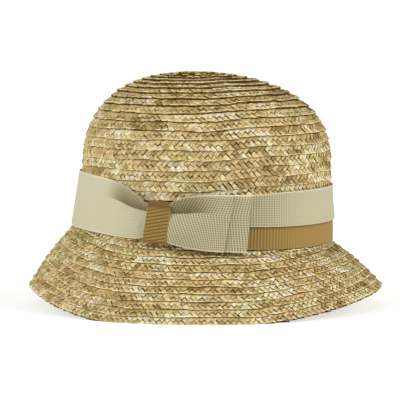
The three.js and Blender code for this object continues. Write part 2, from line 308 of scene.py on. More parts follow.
def leaf_corners(pitch, spacing, slant, tuck):
    """Corners of an upper and a lower leaf: upper left, upper right, lower left, lower right, as
    (along the row, down from its middle). Sides lean by slant millimetres for each one down, and
    the ends in the middle are cut along the other course's slant."""
    dip = spacing / (4 * slant)
    half, inset = pitch / 2, spacing / 4
    top = slant * (half + tuck)
    upper = [[top, -half - tuck], [top + spacing, -half - tuck],
             [inset, -dip], [spacing - inset, dip]]
    foot = slant * half
    lower = [[inset, dip], [spacing - inset, -dip], [foot, half], [foot + spacing, half]]
    return np.array(upper), np.array(lower) + [spacing / 2, 0]


def leaf_mesh(leaves, patch):
    """Points, faces and UVs of all leaves. A point is the blend of the leaf's four corners by its
    place in the patch, then raised on the middle points and sunk on the rim. The leaf bends with
    the hat: by the square of the distance up or down from the row's middle."""
    down, right = (1 + patch.u) / 2, (1 + patch.w) / 2
    weights = np.stack([(1 - down) * (1 - right), (1 - down) * right,
                        down * (1 - right), down * right], -1)
    rounding = np.where(patch.side, 0.18 * patch.head + 0.28 * patch.foot, 0)[:, None]
    weights = (1 - rounding) * weights + rounding / 4
    flat = np.einsum("pc,ncx->npx", weights, leaves.corners)
    crown_shape = 1 - 0.25 * patch.w ** 2 - 0.12 * patch.u ** 2
    height = leaves.thickness[:, None] * crown_shape + leaves.roll[:, None] * patch.w
    height = height - np.where(patch.side, leaves.side_sunk[:, None], 0)
    height = height - np.where(patch.head, leaves.head_sunk[:, None], 0)
    height = height - np.where(patch.foot, leaves.foot_sunk[:, None], 0)
    bend = np.where(flat[..., 1] < 0, leaves.bend_up[:, None], leaves.bend_down[:, None])
    height = height + bend * flat[..., 1] ** 2
    flat[..., 1] -= np.where(patch.foot, leaves.foot_tuck[:, None], 0)
    flat[..., 1] += (patch.u > 0.85) * (0.8 - 1.1 * patch.w ** 2) * leaves.at_rim[:, None]
    points = (leaves.origin[:, None] + flat[..., :1] * leaves.along[:, None]
              + flat[..., 1:] * leaves.down[:, None] + height[..., None] * leaves.out[:, None])
    count, size = len(leaves.origin), len(patch.u)
    first = (np.arange(count) * size)[:, None, None]
    faces = [(first + patch.top).reshape(-1, 4),
             (first[:, 0] + patch.ring[::-1]).reshape(count, -1)]
    uv = np.stack([2.6 * patch.u, 1.7 * patch.w], -1) + rng.uniform(0, 900, (count, 1, 2))
    return points.reshape(-1, 3), faces, uv.reshape(-1, 2)


print("leaf:", len(fine_leaf.u), "points")

# %% [markdown]
# The plait runs round the hat as one spiral. Where a row passes from one turn to the next it drifts
# by a row's height, and on this hat part of that drift shows to the left of the bow's loops.
# Each visible row has two courses of leaves that meet in the middle as a row of chevrons, and its
# lower edge is sewn over the row below.

# %% Rows of plait
plait = SimpleNamespace(pitch=7.5, depth=4.0, first_row=5.3, turns=23, leaf_spacing=4.4, step=1.0,
                        top_step=0.6, wobble=0.32, brim_pitch=5.85, brim_spacing=4.24, brim_rows=13)


def ease(x):
    """0 below 0, 1 above 1, and 3x^2 - 2x^3 between."""
    x = np.clip(x, 0, 1)
    return x * x * (3 - 2 * x)


def smooth_noise(count, width):
    """Random numbers averaged over width neighbours, and scaled back to a spread of 1."""
    drawn = rng.normal(0, 1, count + width - 1)
    return np.convolve(drawn, np.ones(width) / math.sqrt(width), "valid")


def crown_spiral():
    """Azimuth and place of the plait's lower edge, turn by turn. Each turn starts at azimuth 180
    and runs clockwise, and its edge lies one pitch further down where it ends. It wobbles a
    little, as a row sewn by hand does."""
    travelled = np.arange(0.0, plait.turns * 360.0, 1.0)
    azimuth = 180 - travelled % 360
    drift = 0.45 * ease((azimuth + 95) / 35) + 0.55 * ease((azimuth - 80) / 60)
    edge = plait.first_row + plait.pitch * (travelled // 360 + 0.68 - drift)
    edge = edge + plait.wobble * smooth_noise(len(edge), 14)
    shown = edge > 0.6 * plait.pitch
    return azimuth[shown], edge[shown]


def brim_spiral():
    """The same on the brim, where rows keep a constant distance from the rim. The whole drift is
    on the far side, where the plait's end slips under the last row."""
    travelled = np.arange(0.0, plait.brim_rows * 360.0 + 95, 1.0)
    azimuth = 180 - travelled % 360
    drift = ease((135 - azimuth) / 50)
    from_rim = plait.brim_pitch * (plait.brim_rows - travelled // 360 - drift)
    wobble = plait.wobble * smooth_noise(len(from_rim), 10) * ease(from_rim / plait.brim_pitch)
    return azimuth, brim_reach(azimuth) - np.maximum(from_rim + wobble, 0)


def spaced(face, azimuth, edge, spacing):
    """Places at equal distances along a row's edge."""
    steps = np.linalg.norm(np.diff(face(azimuth, edge), axis=0), axis=-1)
    walked = np.concatenate([[0], np.cumsum(steps)])
    at = np.arange(0, walked[-1], spacing)
    unrolled = -np.unwrap(-azimuth, period=360)
    return np.interp(at, walked, unrolled), np.interp(at, walked, edge)


on_crown, on_brim = crown_spiral(), brim_spiral()
print("crown rows:", plait.turns, " brim rows:", plait.brim_rows)

# %% [markdown]
# The ribbons hide part of the straw. Their edges are given by short tables of azimuth and height
# above the break, so that leaves are made only where straw shows, and a little way underneath.

# %% Where the ribbons' edges run
ribbon_top = np.array([
    # azimuth, height above the break
    [-180, 42.4], [-142.7, 42.4], [-129.9, 40.5], [-122.5, 36.9], [-117, 32.0], [-115.3, 31.4],
    [-105.3, 31.0], [-104, 31.4], [-100.6, 35.2], [-94.3, 38.5], [-78.4, 40.2], [-70, 40.6],
    [-52.6, 42.8], [-38, 43.3], [80, 43.3], [150, 42.2], [180, 42.4]])
ribbon_foot = np.array([
    [-180, 1.2], [-123, 1.4], [-117, 2.2], [-115.4, 1.2], [-105.2, 1.2], [-103.8, 2.4],
    [-98.8, 1.1], [-94.5, -0.8], [-88, -1.3], [-70.2, -1.6], [-69.8, 0.6], [140, 0.6], [180, 1.2]])
TUCK = 7.0


def covered(face, azimuth, place):
    """How far a spot lies under the ribbons, in millimetres, and less than 0 where it shows."""
    height = face(azimuth, place)[..., 2] - break_height(azimuth)
    turned = (azimuth + 180) % 360 - 180
    top = np.interp(turned, ribbon_top[:, 0], ribbon_top[:, 1])
    foot = np.interp(turned, ribbon_foot[:, 0], ribbon_foot[:, 1])
    return np.minimum(top - height, height - foot)


# %% [markdown]
# A plait of natural straw is never one colour. Most leaves are golden tan. Pale cream straws come up
# in clusters of a few leaves and dip away again, and so do browner ones, and a few straws are
# greenish or pinkish. The colours are drawn at random, from a fixed seed.

# %% Colours of the straws
straw_shades = [
    # colour, share of the leaves that are darker than it
    ("8e7743", 0.00), ("a68f5a", 0.06), ("b6a06b", 0.20), ("c1aa75", 0.42), ("cab681", 0.64),
    ("d1c191", 0.79), ("d8cca6", 0.91), ("ddd4b9", 1.00)]
shade_colours = np.array([linear(colour) for colour, share in straw_shades])
shade_shares = np.array([share for colour, share in straw_shades])


def leaf_colours(count):
    """A leaf's place from dark to pale is the mean of a slow wave that both courses share, a short
    one of its own course, and chance. Its rank among all leaves then picks its shade."""
    shared = smooth_noise(count, 6)
    value = np.concatenate([0.62 * shared + 0.45 * smooth_noise(count, 3) for course in range(2)])
    value = value + 0.65 * rng.normal(0, 1, 2 * count)
    rank = np.argsort(np.argsort(value)) / (2 * count)
    colour = np.stack([np.interp(rank, shade_shares, shade_colours[:, k]) for k in range(3)], -1)
    cast = np.concatenate([smooth_noise(count, 4)] * 2)[:, None] + rng.normal(0, 0.5, (2 * count, 1))
    greenish, reddish = np.array([0.985, 1.008, 0.98]), np.array([1.014, 0.988, 0.985])
    colour = colour * np.where(cast < 0, greenish, reddish) ** np.abs(cast)
    return colour * rng.normal(1.0, 0.10, (2 * count, 1)).clip(0.7, 1.1)


# %% Lay the leaves along the rows
SLANT = 0.90    # millimetres along the row for each millimetre down


def rim_share(face, azimuth, edge, width):
    """1 at the brim's rim, and 0 on the crown and from this width inwards."""
    if face is crown_face:
        return 0 * edge
    return 1 - ease((brim_reach(azimuth) - edge) / width)


def plait_leaves(face, azimuth, edge, pitch, spacing, inside):
    """Two courses of leaves along a row. The row leans: its upper edge lies a step lower than its
    lower edge, which covers the next row. The inside shows the plait's other face: there the same
    row is turned over, so that its upper edge covers the row above."""
    count = len(azimuth)
    upper = np.arange(2 * count) < count
    azimuth, edge = np.tile(azimuth, 2), np.tile(edge, 2)
    spot, along, down, out = axes_at(face, azimuth, edge - pitch / 2)
    near_top = ease((spot[:, 2] - 115) / 50)
    step = plait.step + plait.top_step * near_top
    above, below = face(azimuth, edge - pitch) - spot, face(azimuth, edge) - spot
    bend_up = (above * out).sum(-1) / (pitch / 2) ** 2
    bend_down = (below * out).sum(-1) / (pitch / 2) ** 2
    if inside:
        depth = plait.depth - 0.8 * rim_share(face, azimuth, edge, 2 * pitch)
        spot, down, out = spot - depth[:, None] * out, -down, -out
        bend_up, bend_down = -bend_down, -bend_up
    lean = np.arctan(step / pitch)[:, None]
    down, out = (down * np.cos(lean) + out * np.sin(lean),
                 out * np.cos(lean) - down * np.sin(lean))
    wander = rng.normal(0, 1, (4, 2 * count)).clip(-2, 2)
    pair = leaf_corners(pitch, spacing, SLANT, 1.0)
    corners = np.where(upper[:, None, None], pair[0], pair[1]) - [spacing, 0]
    corners = corners + 0.22 * rng.normal(0, 1, corners.shape).clip(-2, 2)
    corners[:, 2:, 1] += 0.22 * rng.normal(0, 1, (2 * count, 2)).clip(-2, 2)
    hidden = covered(face, azimuth, edge - pitch * np.where(upper, 0.7, 0.25)) * (not inside)
    level = -step / 2 - 0.12 - 0.45 * ease(hidden / 1.5) + 0.14 * wander[0]
    at_rim = rim_share(face, azimuth, edge, 3.0) * ~upper * (not inside)
    leaves = SimpleNamespace(
        origin=spot + level[:, None] * out, along=along, down=down, out=out, corners=corners,
        bend_up=bend_up, bend_down=bend_down, near_top=near_top, at_rim=at_rim,
        thickness=0.24 + 0.05 * wander[1], side_sunk=0.17 + 0.04 * wander[2],
        head_sunk=np.where(upper, 0.2, 0.65), foot_sunk=np.where(upper, 0.65, step - 0.15),
        foot_tuck=np.where(upper, 0.0, 0.35), roll=-0.11 + 0.05 * wander[3])
    return leaves, hidden < TUCK


def keep(leaves, shown):
    """The leaves that show."""
    return SimpleNamespace(**{name: values[shown] for name, values in vars(leaves).items()})


def plait_piece(name, face, spiral, spacing, pitch, patch=fine_leaf, inside=False):
    """The whole plait of one face as one mesh. Shade is painted on the leaves' rims: a leaf's right
    side slips under the next leaf, so that side, its foot and its head are painted dark. The rows'
    feet get the darkest painted shade round the crown's top."""
    azimuth, edge = spaced(face, *spiral, spacing)
    leaves, shown = plait_leaves(face, azimuth, edge, pitch, spacing, inside)
    colours = leaf_colours(len(azimuth))
    leaves, colours = keep(leaves, shown), colours[shown]
    points, faces, uv = leaf_mesh(leaves, patch)
    points[:, 2] = np.maximum(points[:, 2], 0)    # the rim's leaves rest on the table
    near_top = leaves.near_top[:, None]
    # painted shade: each leaf's foot, the strip just above it, its head and its sides are darkened,
    # the feet most round the crown's top
    shade = np.select([patch.foot, patch.u > 0.85, patch.head, patch.w == 1, patch.w == -1],
                      [0.14 - 0.05 * near_top, 0.44 - 0.24 * near_top, 0.34, 0.58, 0.66], 1.0)
    shade = np.where(shade < 1, shade * rng.uniform(0.55, 1.2, (len(colours), 1)), shade)
    # painted shade is lighter on the feet at the brim's rim, where no row lies below
    shade = shade ** (1 - 0.75 * leaves.at_rim[:, None] * (patch.u > 0.85))
    # painted shade turns warm, so blue fades most
    tint = (colours[:, None] * (shade[..., None] ** [0.85, 1.1, 1.8])).reshape(-1, 3)
    print(name, "has", len(colours), "leaves")
    return new_piece(name, points, faces, wheat_straw, "straw_body", uv, tint)


crown_plait = plait_piece("crown_plait", crown_face, on_crown, plait.leaf_spacing, plait.pitch)
brim_plait = plait_piece("brim_plait", brim_face, on_brim, plait.brim_spacing, plait.brim_pitch)
COARSER = 1.45    # how much wider a leaf is on the inside, where few are seen
crown_inside = plait_piece("crown_plait_inside", crown_face, on_crown,
                           COARSER * plait.leaf_spacing, plait.pitch, plain_leaf, inside=True)
brim_inside = plait_piece("brim_plait_inside", brim_face, on_brim,
                          COARSER * plait.brim_spacing, plait.brim_pitch, plain_leaf, inside=True)

# %% [markdown]
# Each row is sewn to the one below near its lower edge. The thread shows as short pale dashes, which
# come and go as the straw covers them. A few straw ends also stick out of the plait. Both are thin
# closed tubes, made for all dashes at once.

# %% Sewing thread and loose straw ends
def tube_mesh(paths, radii, normals, sides=4):
    """Points and faces of closed tubes. Each point of a path gets a ring of points at its radius,
    spread evenly round the path's direction, and both ends are closed by a flat face."""
    count, steps = radii.shape
    ahead = unit(np.gradient(paths, axis=1))
    side = unit(np.cross(ahead, normals))
    up = np.cross(side, ahead)
    turn = (np.arange(sides) + 0.5) * 2 * np.pi / sides
    rings = (paths[:, :, None] + radii[..., None, None]
             * (np.cos(turn)[:, None] * side[:, :, None] + np.sin(turn)[:, None] * up[:, :, None]))
    first = (np.arange(count) * steps * sides)[:, None]
    wall = (first[..., None] + grid_faces(steps, sides, wrap_columns=True)).reshape(-1, 4)
    start = first + np.arange(sides)[::-1]
    end = first + (steps - 1) * sides + np.arange(sides)
    return rings.reshape(-1, 3), [wall[:, ::-1], start[:, ::-1], end[:, ::-1]]


STITCH = SimpleNamespace(spacing=5.2, half_length=2.2, radius=0.30, from_edge=0.45, above=0.25)


def stitches(face, spiral, first=0.0):
    """Paths, normals and radii of the dashes along the lower edge of every row."""
    azimuth, edge = spaced(face, *spiral, STITCH.spacing)
    patchy = np.convolve(rng.normal(0, 1, len(azimuth) + 6), np.ones(7) / 7, "valid") * 2.2
    showing = patchy + rng.normal(0, 0.8, len(azimuth)) > -0.35
    hidden = covered(face, azimuth, edge)
    chosen = showing & (hidden < -0.5) & (edge > first)
    azimuth, edge = azimuth[chosen], edge[chosen]
    spot, along, down, out = axes_at(face, azimuth, edge - STITCH.from_edge)
    along_at = np.array([-1, -0.8, 0, 0.8, 1.0]) * STITCH.half_length
    length = rng.uniform(0.75, 1.25, (len(spot), 1))
    height = STITCH.above - np.array([0.55, 0.05, 0, 0.05, 0.55])
    slope = rng.normal(0, 0.05, (len(spot), 1))
    paths = (spot[:, None] + (along_at * length)[..., None] * along[:, None]
             + (along_at * slope)[..., None] * down[:, None] + height[:, None] * out[:, None])
    radii = STITCH.radius * np.array([0.5, 1, 1, 1, 0.5]) * rng.uniform(0.7, 1.15, (len(spot), 1))
    return paths, radii, np.repeat(out[:, None], 5, 1)


def loose_ends(face, azimuth, place, longest, steepest):
    """Paths, normals and radii of straw ends that stick out. Each leaves the face at a slope of its
    own, and bends sideways by the square of the way along it."""
    spot, along, down, out = axes_at(face, azimuth, place)
    count = len(spot)
    heading = rng.uniform(0, 2 * np.pi, (count, 1))
    ahead = np.cos(heading) * along + np.sin(heading) * down
    aside = np.cos(heading) * down - np.sin(heading) * along
    slope = np.radians(rng.uniform(10, steepest, (count, 1)))
    length = rng.uniform(0.4, 1.0, (count, 1)) * longest
    share = np.linspace(0, 1, 6)[:, None]
    straight = length * (np.cos(slope) * ahead + np.sin(slope) * out)
    curl = 0.3 * length * rng.normal(0, 1, (count, 1)).clip(-1.5, 1.5) * aside
    paths = (spot - 0.9 * out)[:, None] + straight[:, None] * share + curl[:, None] * share ** 2
    radii = rng.uniform(0.13, 0.2, (count, 1)) * np.linspace(1, 0.5, 6)
    return paths, radii, np.repeat(out[:, None], 6, 1)


def joined_tubes(name, parts, shades, material):
    """One piece from groups of paths. Each tube takes one of the shades, by chance."""
    paths, radii, normals = (np.concatenate(group) for group in zip(*parts))
    points, faces = tube_mesh(paths, radii, normals)
    points[:, 2] = np.maximum(points[:, 2], 0)
    colours = np.array([linear(shade) for shade in shades])
    each = len(points) // len(paths)
    tint = np.repeat(colours[rng.integers(0, len(shades), len(paths))], each, 0)
    return new_piece(name, points, faces, material, "straw_body", points[:, [0, 2]], tint)


# the two darker thread shades are painted shade, for thread sunk into the plait
thread = joined_tubes("sewing_thread", [stitches(crown_face, on_crown), stitches(brim_face, on_brim)],
                      ["efe0ae", "efe0ae", "dfcb8c", "dfcb8c", "cdb663"], cotton_thread)
stray_ends = joined_tubes("loose_straw_ends", [
    loose_ends(crown_face, np.array([180, 174, 196, 20, 150]), np.array([6.5, 8, 7, 9, 12]), 8, 70),
    loose_ends(crown_face, rng.uniform(-180, 180, 70), rng.uniform(10, 145, 70), 6, 40),
    loose_ends(brim_face, rng.uniform(-180, 180, 40), rng.uniform(8, 48, 40), 5, 35)],
    ["d8c890", "b89e5f", "7a5f2c"], wheat_straw)

# %% The body under the plait
def shell_rail(azimuth, depth):
    """One meridian of the body from the top's middle to the rim, moved in from the face."""
    dome = np.linspace(0.8, dome_length, 40)
    spot, _, _, out = axes_at(crown_face, np.full(len(dome), azimuth), dome)
    on_wall = np.array([-45.0, -30, -15, -8, -4, -1.5, 0.0, 1.5])
    low = np.concatenate([on_wall, np.linspace(0.06, 0.975, 16) * brim_reach(azimuth)])
    spot2, _, _, out2 = axes_at(brim_face, np.full(len(low), azimuth), low)
    return np.concatenate([spot - depth * out, spot2 - depth * out2])


shell_azimuths = np.arange(0, 360, 3.0)
outside = np.stack([shell_rail(a, 1.75) for a in shell_azimuths])
inside = np.stack([shell_rail(a, 2.35) for a in shell_azimuths])
section = np.concatenate([outside, inside[:, ::-1]], 1)
columns = section.shape[1]
shell_faces = grid_faces(len(section), columns, wrap_rows=True)
# painted shade: the straw under the plait is dark brown, for the shade in the gaps between the leaves
body_tint_with_painted_shade = np.tile(linear("76561f"), (section.size // 3, 1))
top_ring = np.arange(len(section)) * columns
shell = new_piece("straw_ground", section.reshape(-1, 3),
                  [shell_faces, top_ring[None, ::-1], (top_ring + columns - 1)[None]],
                  shaded_straw, "straw_body",
                  section.reshape(-1, 3)[:, [2, 0]], body_tint_with_painted_shade)

# %% [markdown]
# Grosgrain is a ribbon woven with thick threads across it under a fine warp, so it has ribs from edge
# to edge and a dull face with a faint sheen. The ribs of the real ribbon are under 1 mm apart, too
# fine to show here, so they are drawn about 2 mm apart, which is how they look at this distance.
# The ribs are part of the mesh. The nodes paint shade into the grooves between them, crossed by
# painted shade between the warp threads, from the piece's UV map: millimetres along the ribbon,
# and across it.

# %% Grosgrain ribbon
ribs = SimpleNamespace(sage=2.15, caramel=2.6, warp=1.7, height=0.10)


def grosgrain(name, rib_pitch, rib_sharpness, warp_share, sheen_tint):
    """Colour from the points, darkened by painted shade: 1 - |sin| of the place along the ribbon, in
    ribs, and of the place across it, in warp threads. The ribs' |sin| has the sharpness as its
    power, and the tint's alpha says how strong all of it is."""
    material, shader = new_material(name)

    def calc(operation, *values):
        return add_node(material, "ShaderNodeMath", dict(enumerate(values)),
                        operation=operation).outputs[0]

    tint = add_node(material, "ShaderNodeAttribute", attribute_name="tint")
    place = add_node(material, "ShaderNodeUVMap", uv_map="thread")
    parts = add_node(material, "ShaderNodeSeparateXYZ", {0: place.outputs[0]})
    rib = calc("ABSOLUTE", calc("SINE", calc("MULTIPLY", parts.outputs[0], np.pi / rib_pitch)))
    warp = calc("ABSOLUTE", calc("SINE", calc("MULTIPLY", parts.outputs[1], np.pi / ribs.warp)))
    fuzz = add_node(material, "ShaderNodeTexNoise", {"Vector": place.outputs[0], "Scale": 1.3,
                                                     "Detail": 4.0})
    raised = calc("ADD", calc("MULTIPLY", calc("POWER", rib, rib_sharpness), 1 - warp_share),
                  calc("MULTIPLY", warp, warp_share))
    groove = calc("MULTIPLY", calc("SUBTRACT", 1.0, raised), tint.outputs["Alpha"])
    mottle = calc("MULTIPLY_ADD", fuzz.outputs[0], 0.12, 0.94)

    def blend(operation, *values):
        return add_node(material, "ShaderNodeVectorMath", dict(enumerate(values)),
                        operation=operation).outputs[0]

    # Light that reaches a groove has bounced off the cloth, so grooves are warmer than the ribs.
    shade = blend("MAXIMUM", blend("MULTIPLY_ADD", groove, (-0.92, -1.0, -1.12), (1, 1, 1)),
                  (0.02, 0.02, 0.02))
    colour = blend("MULTIPLY", tint.outputs["Color"], blend("MULTIPLY", shade, mottle))
    bump = add_node(material, "ShaderNodeBump", {"Height": raised, "Strength": 0.4,
                                                 "Distance": 0.00025})
    links = material.node_tree.links
    links.new(colour, shader.inputs["Base Color"])
    links.new(bump.outputs[0], shader.inputs["Normal"])
    shader.inputs["Roughness"].default_value = 0.78
    shader.inputs["IOR"].default_value = 1.45
    shader.inputs["Sheen Weight"].default_value = 0.12
    shader.inputs["Sheen Roughness"].default_value = 0.5
    shader.inputs["Sheen Tint"].default_value = (*linear(sheen_tint), 1)
    return material


sage_grosgrain = grosgrain("sage_grosgrain_ribbon", ribs.sage, 0.9, 0.36, "f2f0e2")
caramel_grosgrain = grosgrain("caramel_grosgrain_ribbon", ribs.caramel, 1.6, 0.16, "e8cf9a")

# %% [markdown]
# A ribbon lies beside the crown's wall. Each is given by a few places along it: the heights of its
# lower edge, crease and upper edge above the break, and how far it stands off the straw at its lower
# edge, in the belly below the crease, at the crease, in the brow above it and at the upper edge.
# A smooth curve joins these, and a bow across the ribbon gives its belly and brow.
# A cloth simulation could gather the ribbon at the knot, but two creases are simpler to place.

# %% A ribbon as a closed sheet
CLOTH = 0.7
across_low = np.array([0, 0.02, 0.05, 0.15, 0.28, 0.41, 0.54, 0.66, 0.78, 0.9, 0.96, 1.0])
across_high = np.array([0.03, 0.1, 0.24, 0.4, 0.56, 0.72, 0.86, 0.94, 0.97, 1.0])


def beside_wall(azimuth, height, stand_off):
    """The wall's point at a height above the break, moved straight out by the stand-off."""
    turn = np.radians(azimuth)
    outward = unit(np.stack([np.cos(turn) / crown.half_length, np.sin(turn) / crown.half_width,
                             0 * turn], -1))
    return crown_point(azimuth, break_height(azimuth) + height) + stand_off[..., None] * outward


def smooth_rows(rows, at):
    """A table's columns at the azimuths asked for: a cubic from row to row, whose slope at a row is
    the harmonic mean of the slopes on its two sides, or 0 at a peak or a dip."""
    rows = np.array(sorted(rows), float)
    places, values = rows[:, 0], rows[:, 1:]
    step = np.diff(places)[:, None]
    rise = np.diff(values, axis=0) / step
    same_way = rise[:-1] * rise[1:] > 0
    total = np.where(same_way, rise[:-1] + rise[1:], 1)
    inner = np.where(same_way, 2 * rise[:-1] * rise[1:] / total, 0)
    slope = np.concatenate([rise[:1], inner, rise[-1:]])
    i = np.clip(np.searchsorted(places, at) - 1, 0, len(places) - 2)
    t = (at[:, None] - places[i, None]) / step[i]
    return (values[i] * (1 + 2 * t) * (1 - t) ** 2 + values[i + 1] * t * t * (3 - 2 * t)
            + step[i] * (slope[i] * t * (1 - t) ** 2 + slope[i + 1] * t * t * (t - 1)))


def bowed(start, middle, end, share):
    """The parabola through three values at shares 0, a half and 1."""
    return (start * (1 - share) * (1 - 2 * share) + 4 * middle * share * (1 - share)
            + end * share * (2 * share - 1))


def ribbon_leaf(rows, azimuth):
    """Heights and stand-offs of a leaf of ribbon, as grids of places along it and across it."""
    low, crease, high, off_low, off_belly, off_crease, off_brow, off_high = (
        column[:, None] for column in smooth_rows(rows, azimuth).T)
    height = np.concatenate([low + (crease - low) * across_low,
                             crease + (high - crease) * across_high], 1)
    stand_off = np.concatenate([bowed(off_low, off_belly, off_crease, across_low),
                                bowed(off_crease, off_brow, off_high, across_high)], 1)
    return height, stand_off


def places_along(start, end, spacing=0.36):
    """Azimuths about 0.36 mm apart at the wall, from one end of a ribbon to the other."""
    count = int(abs(end - start) * math.pi / 180 * mean_radius / spacing) + 2
    return np.linspace(start, end, count)


def ribbon_piece(name, node, material, pitch, front, back, tint, skew=None):
    """A closed sheet from grids of points on its face and its back. Ribs stand up on the face as
    |sin| of the length along it, moved sideways by skew."""
    middle = front[:, front.shape[1] // 2]
    length = np.concatenate([[0], np.cumsum(np.linalg.norm(np.diff(middle, axis=0), axis=-1))])
    width = np.concatenate([np.zeros((len(front), 1)),
                            np.cumsum(np.linalg.norm(np.diff(front, axis=1), axis=-1), 1)], 1)
    along = np.broadcast_to(length[:, None], width.shape) + (0 if skew is None else skew)
    rib = np.abs(np.sin(np.pi * along / pitch)) ** 0.7
    edge = np.minimum(width, width[:, -1:] - width)
    rib_height = ribs.height * tint[..., 3] * ease(edge / 0.8)
    front = front + (rib_height * (rib - 1))[..., None] * unit(front - back)
    ring = np.concatenate([front, back[:, ::-1]], 1)
    uv = np.stack([along, width], -1)
    across = front.shape[1]
    faces = grid_faces(len(ring), 2 * across, wrap_columns=True)
    j = np.arange(across - 1)
    cap = np.stack([j, j + 1, 2 * across - 2 - j, 2 * across - 1 - j], -1)
    last = cap[:, ::-1] + (len(ring) - 1) * 2 * across
    points, faces = ring.reshape(-1, 3), np.concatenate([faces, cap, last])
    a, b, c, d = (points[faces[:, k]] for k in range(4))
    volume = (a * np.cross(b, c)).sum() + (a * np.cross(c, d)).sum()
    faces = faces if volume > 0 else faces[:, ::-1]
    both = [np.concatenate([grid, grid[:, ::-1]], 1) for grid in (uv, tint)]
    piece = new_piece(name, points, [faces], material, node, both[0].reshape(-1, 2),
                      both[1].reshape(-1, 4))
    print(f"  {length[-1]:.0f} mm long, {width[:, -1].mean():.1f} mm wide")
    return piece


def ribbon_tint(colour, selvedge, width_share, contrast):
    """Colour and rib contrast of each point; the contrast sets the ribs' height and their painted
    groove shade. The woven edges are paler and have no ribs.
    """
    edge = np.minimum(width_share, 1 - width_share)
    pale = (1 - ease(edge / 0.03))[..., None]
    shade = linear(colour) * (1 - pale) + linear(selvedge) * pale
    return np.concatenate([shade, contrast[..., None] * (1 - pale)], -1)


def leaf_share(height):
    """How far across the ribbon each point lies, from 0 to 1."""
    return (height - height[:, :1]) / (height[:, -1:] - height[:, :1])


above_crease = np.concatenate([0 * across_low, across_high])    # 0 up to the crease, 1 at the top
# the bow's and the band's sage are the sash's sage with painted shade: darker copies of one colour
SAGE, SAGE_BOW_SHADED, SAGE_BAND_SHADED, SAGE_EDGE = "b7b294", "b0aa88", "a8a383", "d0c5a8"
CARAMEL, CARAMEL_EDGE = "8e7130", "9c7e42"


def darken(tint, share):
    """Shade a tint by a share of each point. Shadows between cloth turn warm, so blue fades most."""
    tint[..., :3] *= (1 - share)[..., None] ** [0.92, 1.02, 1.42]

# %% [markdown]
# The wide sash leaves the knot to the left and runs round the front of the crown to the far side,
# where it lies over the ends of the two-tone band. At the knot it is gathered, which leaves a crease
# with a shaded pocket above it and a belly below.

# %% The wide sash
sash_rows = [
    # azimuth, low, crease, high, and stand-offs at: low, belly, crease, brow, high
    [-111.0, 3.4, 22.4, 28.6, 2.2, 2.6, 2.0, 2.2, 2.4],
    [-115.6, 3.0, 22.6, 29.4, 2.4, 3.6, 1.0, 2.0, 3.6],
    [-117.4, 2.2, 22.8, 32.0, 2.4, 4.4, 0.8, 2.2, 5.0],
    [-120.0, 1.6, 23.2, 34.8, 2.0, 4.6, 0.7, 2.0, 5.2],
    [-123.5, 1.3, 24.2, 37.3, 1.4, 3.8, 0.7, 1.8, 4.4],
    [-130.0, 1.2, 27.0, 40.5, 0.7, 2.0, 0.7, 1.2, 2.4],
    [-138.0, 1.2, 28.7, 41.9, 0.3, 0.7, 0.6, 0.6, 0.7],
    [-146.0, 1.2, 28.7, 42.4, 0.3, 0.3, 0.3, 0.3, 0.3],
    [-202.0, 1.2, 28.7, 42.4, 0.3, 0.3, 0.3, 0.3, 0.3],
    [-208.5, 1.2, 28.7, 42.4, 2.9, 2.9, 2.9, 2.9, 2.9],
    [-225.0, 1.2, 28.7, 42.4, 2.9, 2.9, 2.9, 2.9, 2.9]]
FACE = 1.0    # the face of a ribbon lies 1 mm outside the stand-offs of the tables

azimuth = places_along(-111.0, -225.0)
height, stand_off = ribbon_leaf(sash_rows, azimuth)
turns = np.broadcast_to(azimuth[:, None], height.shape)
near_knot = ease((turns + 132) / 14)
# painted shade in the pocket above the crease, strongest near the knot and just above the crease;
# there and near the knot the ribs' painted groove shade is stronger too
pocket = ease((turns + 140) / 14) * (above_crease > 0) * (1 - 0.5 * ease(above_crease))
sash_tint = ribbon_tint(SAGE, SAGE_EDGE, leaf_share(height), 0.26 + 0.24 * near_knot + 0.4 * pocket)
darken(sash_tint, 0.66 * pocket)
sash = ribbon_piece("sash", "sage_sash", sage_grosgrain, ribs.sage,
                    beside_wall(turns, height, stand_off + FACE),
                    beside_wall(turns, height, stand_off + FACE - CLOTH), sash_tint,
                    skew=0.9 * height)

# %% [markdown]
# The two-tone band is a caramel ribbon with a sage one sewn over its upper edge, so the sage one
# bends out where it passes over the caramel. It starts under the bow and runs round the back.

# %% The two-tone band
band = SimpleNamespace(caramel_low=0.6, caramel_high=19.8, sage_low=17.4, start=-84, end=150)
sage_rows = [
    # azimuth, height of the upper edge
    [-84, 40.2], [-70, 40.7], [-52, 42.8], [-38, 43.3], [80, 43.3], [150, 42.0]]
band_across = np.array([0, 0.04, 0.1, 0.25, 0.5, 0.75, 0.9, 0.96, 1.0])

azimuth = places_along(band.start, band.end, 0.5)
turns =np.broadcast_to(azimuth[:, None], (len(azimuth), len(band_across)))
height = band.caramel_low + (band.caramel_high - band.caramel_low) * band_across + 0 * turns
fading = 0.72 - 0.54 * ease((turns + 72) / 34)
caramel_tint = ribbon_tint(CARAMEL, CARAMEL_EDGE, leaf_share(height), fading)
# painted shadow of the sage ribbon's lower edge on the caramel one
darken(caramel_tint, 0.5 * ease((height - band.sage_low + 1.0) / 0.8))
caramel_band = ribbon_piece("caramel_ribbon_band", "caramel_band", caramel_grosgrain,
                            ribs.caramel,
                            beside_wall(turns, height, 0 * turns + 1.3),
                            beside_wall(turns, height, 0 * turns + 1.3 - CLOTH), caramel_tint)

